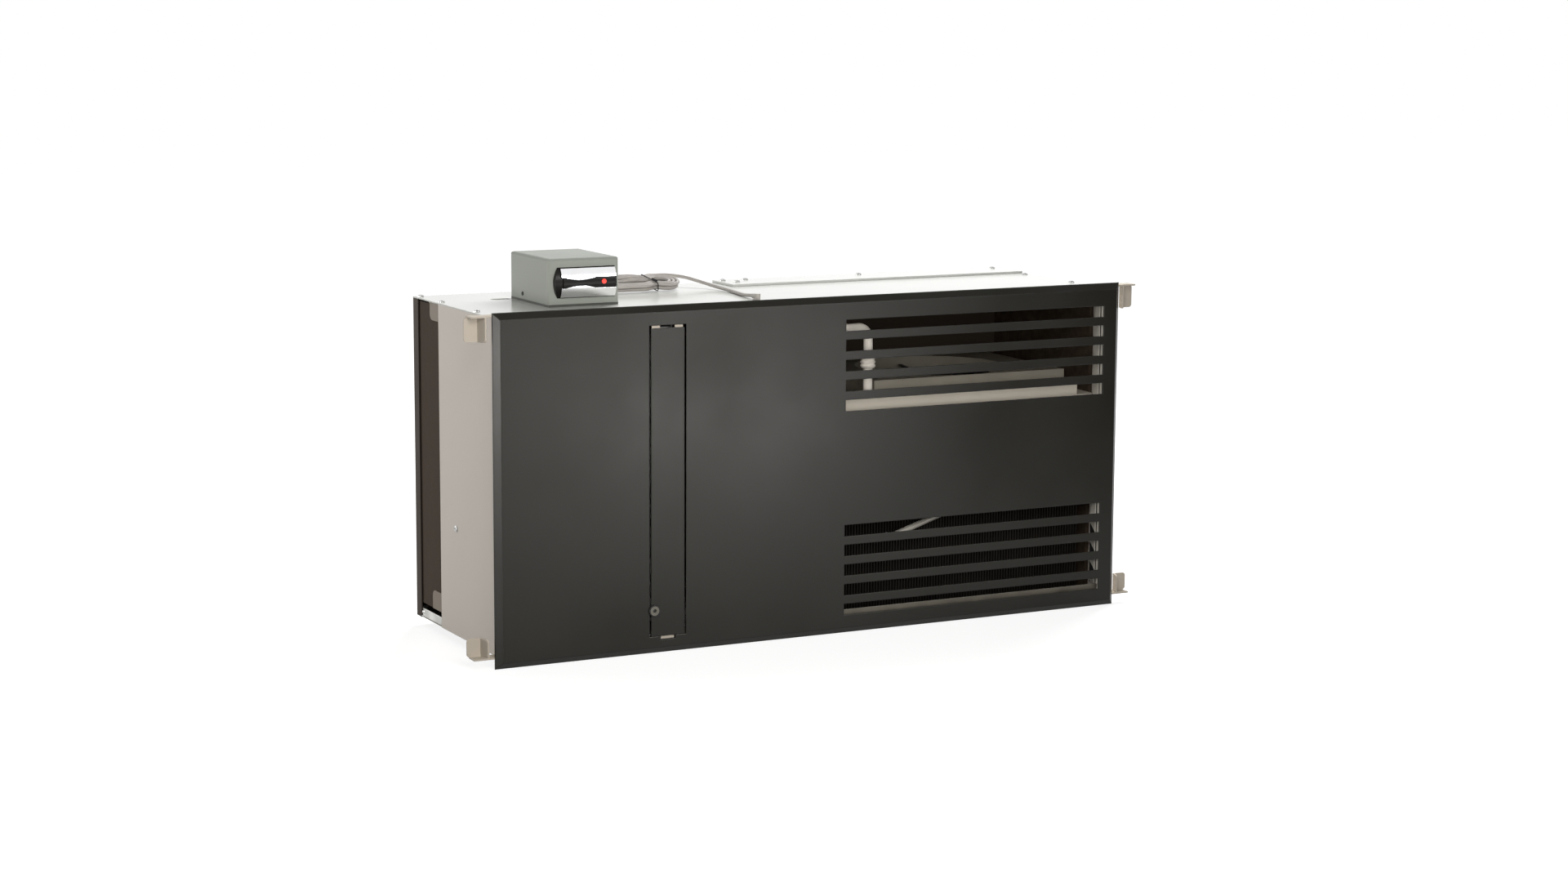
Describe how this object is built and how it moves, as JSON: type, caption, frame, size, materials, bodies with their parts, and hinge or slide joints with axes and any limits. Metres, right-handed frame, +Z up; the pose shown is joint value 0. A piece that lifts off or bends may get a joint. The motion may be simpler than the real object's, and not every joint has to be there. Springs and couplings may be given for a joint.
{
  "type": "enclosure cooling unit",
  "caption": "Through-wall enclosure cooling unit with a bevelled grille panel, sheet-metal housing, pull-out filter and a loose controller on a coiled lead.",
  "frame": {"origin": "centre of the footprint, on the surface that the feet stand on", "axes": "+X across the front panel to the right as seen from the front, +Y from the front panel to the rear, +Z up"},
  "size_m": [0.949, 0.3012, 0.485],
  "materials": {
    "graphite_paint": "satin",
    "beige_paint": "satin",
    "dark_paint": "satin",
    "cover_white": "gloss",
    "cream_bracket": "satin",
    "zinc_sheet": "satin",
    "screw_steel": "polished",
    "fin_aluminium": "matte",
    "copper_tube": "satin",
    "black_plastic": "matte",
    "black_gloss": "gloss",
    "smoked_window": "gloss",
    "chrome_key": "polished",
    "lamp_red": "gloss",
    "controller_grey": "satin",
    "black_rubber": "matte",
    "brown_felt": "matte",
    "foam_panel": "matte",
    "filter_fleece": "matte",
    "white_foam": "matte",
    "black_shell": "satin",
    "line_grey": "satin",
    "board_green": "matte",
    "cable_grey": "satin"
  },
  "bodies": {
    "cooling_unit": {"front_panel": "graphite_paint", "base_pan": "zinc_sheet", "left_side_panel": "beige_paint", "right_side_panel": "beige_paint", "rear_panel": "dark_paint", "top_cover": "cover_white", "top_rear_strip": "cover_white", "cover_screws": "screw_steel", "side_screws": "screw_steel", "corner_ears": "cream_bracket", "rubber_feet": "black_rubber", "partition_wall": "foam_panel", "side_liner": "brown_felt", "drain_pan": "zinc_sheet", "evaporator_fins": "fin_aluminium", "evaporator_end_plates": "zinc_sheet", "evaporator_tubes": "copper_tube", "evaporator_shroud": "zinc_sheet", "evaporator_fan_motor": "black_shell", "filter_rails": "zinc_sheet", "screw_receiver": "zinc_sheet", "divider_shelf": "cream_bracket", "condenser_fan_frame": "cream_bracket", "condenser_fan_motor": "black_shell", "condenser_fins": "fin_aluminium", "condenser_tubes": "copper_tube", "compressor_shell": "black_shell", "compressor_terminal_cover": "black_plastic", "compressor_grommets": "black_rubber", "compressor_bolts": "screw_steel", "suction_line": "white_foam", "line_coupling": "white_foam", "discharge_line": "line_grey", "liquid_line": "copper_tube", "filter_drier": "copper_tube", "control_box": "zinc_sheet", "run_capacitor": "zinc_sheet", "power_inlet": "black_plastic", "drain_outlet": "white_foam", "controller_base": "black_plastic", "controller_cover": "controller_grey", "controller_board": "board_green", "controller_screws": "black_shell", "display_pod": "black_gloss", "display_window": "smoked_window", "status_lamp": "lamp_red", "controller_gland": "black_rubber", "cover_gland": "cable_grey", "cable_run": "cable_grey", "cable_hank": "cable_grey", "cable_tail": "cable_grey", "cable_tie": "black_plastic"},
    "cassette": {"access_strip": "graphite_paint", "filter_frame": "cream_bracket", "filter_media": "filter_fleece"},
    "lock": {"retaining_screw": "screw_steel"},
    "cold_fan": {"evaporator_fan_blade": "black_plastic"},
    "hot_fan": {"condenser_fan_blade": "black_plastic"},
    "key_top": {"upper_key": "chrome_key"},
    "key_bottom": {"lower_key": "chrome_key"}
  },
  "joints": [
    {"name": "filter_slide", "type": "slide", "parent": "cooling_unit", "child": "cassette", "axis": [0, -1, 0], "range_m": [0, 0.24]},
    {"name": "retaining_screw_turn", "type": "hinge", "parent": "cassette", "child": "lock", "pos_m": [-0.236, -0.148, 0.055], "axis": [0, -1, 0], "range_deg": [0, 90]},
    {"name": "evaporator_fan_spin", "type": "hinge", "parent": "cooling_unit", "child": "cold_fan", "pos_m": [-0.3425, 0.02, 0.2185], "axis": [1, 0, 0], "continuous": true},
    {"name": "condenser_fan_spin", "type": "hinge", "parent": "cooling_unit", "child": "hot_fan", "pos_m": [0.255, 0.025, 0.283], "axis": [0, 0, 1], "continuous": true},
    {"name": "upper_key_press", "type": "slide", "parent": "cooling_unit", "child": "key_top", "axis": [0, 1, 0], "range_m": [0, 0.0006], "stiffness_N_per_m": 800},
    {"name": "lower_key_press", "type": "slide", "parent": "cooling_unit", "child": "key_bottom", "axis": [0, 1, 0], "range_m": [0, 0.0006], "stiffness_N_per_m": 800}
  ]
}
